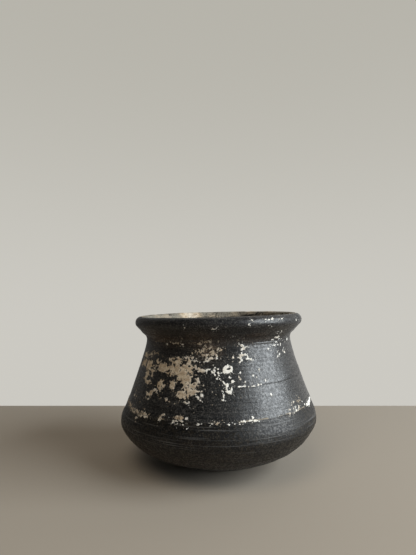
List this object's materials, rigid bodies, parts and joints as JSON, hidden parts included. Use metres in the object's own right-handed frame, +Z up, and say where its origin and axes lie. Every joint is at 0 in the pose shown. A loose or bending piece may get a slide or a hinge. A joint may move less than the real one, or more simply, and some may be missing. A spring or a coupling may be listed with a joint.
{
  "type": "clay pot",
  "caption": "Round-bellied black clay pot with a small flat foot, sloping shoulder, short neck and flared rolled lip, open at the top.",
  "frame": {"origin": "centre of the flat foot's underside, on the surface the pot stands on", "axes": "+Z up along the pot's axis, out of the mouth; +X towards the side where the rim stands about 4 mm higher; -Y towards the viewer"},
  "size_m": [0.2006, 0.2006, 0.1527],
  "materials": {
    "burnished_clay": "satin burnished black, with pale lime crust and soil specks",
    "sooted_clay": "smoke-black, faintly brown underneath, matt to satin",
    "worn_rim_clay": "burnished black outside, worn to grey and tan with pale crust over the lip"
  },
  "bodies": {
    "root": {"base_bowl": "sooted_clay", "belly_band": "burnished_clay", "lower_shoulder_coil": "burnished_clay", "upper_shoulder_coil": "burnished_clay", "neck_coil": "burnished_clay", "rim_coil": "worn_rim_clay"}
  },
  "joints": []
}
